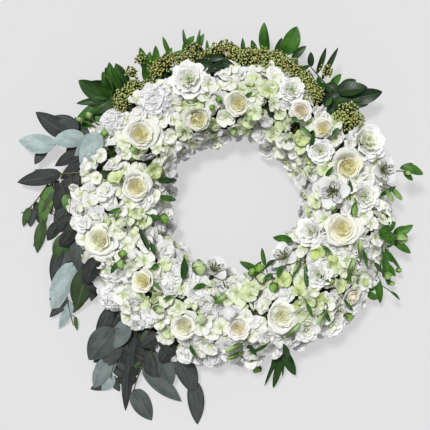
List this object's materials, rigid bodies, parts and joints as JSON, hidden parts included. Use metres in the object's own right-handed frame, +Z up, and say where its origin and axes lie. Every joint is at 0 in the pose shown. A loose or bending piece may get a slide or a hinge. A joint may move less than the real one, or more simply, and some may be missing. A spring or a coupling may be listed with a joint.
{
  "type": "funeral wreath",
  "caption": "Round funeral wreath on a floral-foam ring in a plastic tray, covered with white roses, lisianthus, stock, hydrangea and alstroemeria, edged with glossy leaves and eucalyptus.",
  "frame": {"origin": "the middle of the bounding box's underside, on the surface that the tray stands on", "axes": "+Z up, away from the tray's underside and towards the faces of the flowers; +Y towards the side with the glossy leaves and bead clusters; -X towards the eucalyptus"},
  "size_m": [0.6424, 0.6538, 0.1271],
  "materials": {
    "tray_plastic": "matte dark green moulded plastic",
    "floral_foam": "dry-looking fine-celled foam",
    "rose_petal": "soft satin petals, white outside and cream at the heart",
    "lisianthus_petal": "soft satin white petals",
    "stock_petal": "soft matte white ruffled petals",
    "alstroemeria_petal": "soft satin white petals with dark strokes",
    "flower_bead": "small waxy green and yellow-green flower buds",
    "hydrangea_petal": "soft matte petals, white to lime green",
    "eucalyptus_leaf": "waxy matte grey-green to pale blue leaves",
    "glossy_leaf": "glossy dark green leathery leaves"
  },
  "bodies": {
    "root": {"tray": "tray_plastic", "foam_ring": "floral_foam", "rose_01": "rose_petal", "rose_02": "rose_petal", "rose_03": "rose_petal", "rose_04": "rose_petal", "rose_05": "rose_petal", "rose_06": "rose_petal", "rose_07": "rose_petal", "rose_08": "rose_petal", "rose_09": "rose_petal", "rose_10": "rose_petal", "rose_11": "rose_petal", "rose_12": "rose_petal", "rose_13": "rose_petal", "rose_14": "rose_petal", "lisianthus_01": "lisianthus_petal", "lisianthus_02": "lisianthus_petal", "lisianthus_03": "lisianthus_petal", "lisianthus_04": "lisianthus_petal", "lisianthus_05": "lisianthus_petal", "lisianthus_06": "lisianthus_petal", "lisianthus_07": "lisianthus_petal", "lisianthus_08": "lisianthus_petal", "lisianthus_09": "lisianthus_petal", "stock_01": "stock_petal", "stock_02": "stock_petal", "stock_03": "stock_petal", "alstroemeria_01": "alstroemeria_petal", "alstroemeria_02": "alstroemeria_petal", "alstroemeria_03": "alstroemeria_petal", "alstroemeria_04": "alstroemeria_petal", "beads_01": "flower_bead", "beads_02": "flower_bead", "beads_03": "flower_bead", "beads_04": "flower_bead", "beads_05": "flower_bead", "beads_06": "flower_bead", "hydrangea_01": "hydrangea_petal", "hydrangea_02": "hydrangea_petal", "hydrangea_03": "hydrangea_petal", "hydrangea_04": "hydrangea_petal", "hydrangea_05": "hydrangea_petal", "hydrangea_06": "hydrangea_petal", "hydrangea_07": "hydrangea_petal", "hydrangea_08": "hydrangea_petal", "hydrangea_09": "hydrangea_petal", "hydrangea_10": "hydrangea_petal", "hydrangea_11": "hydrangea_petal", "hydrangea_12": "hydrangea_petal", "hydrangea_13": "hydrangea_petal", "eucalyptus_01": "eucalyptus_leaf", "eucalyptus_02": "eucalyptus_leaf", "eucalyptus_03": "eucalyptus_leaf", "eucalyptus_04": "eucalyptus_leaf", "leaves_01": "glossy_leaf", "leaves_02": "glossy_leaf", "leaves_03": "glossy_leaf", "leaves_04": "glossy_leaf", "leaves_05": "glossy_leaf"}
  },
  "joints": []
}
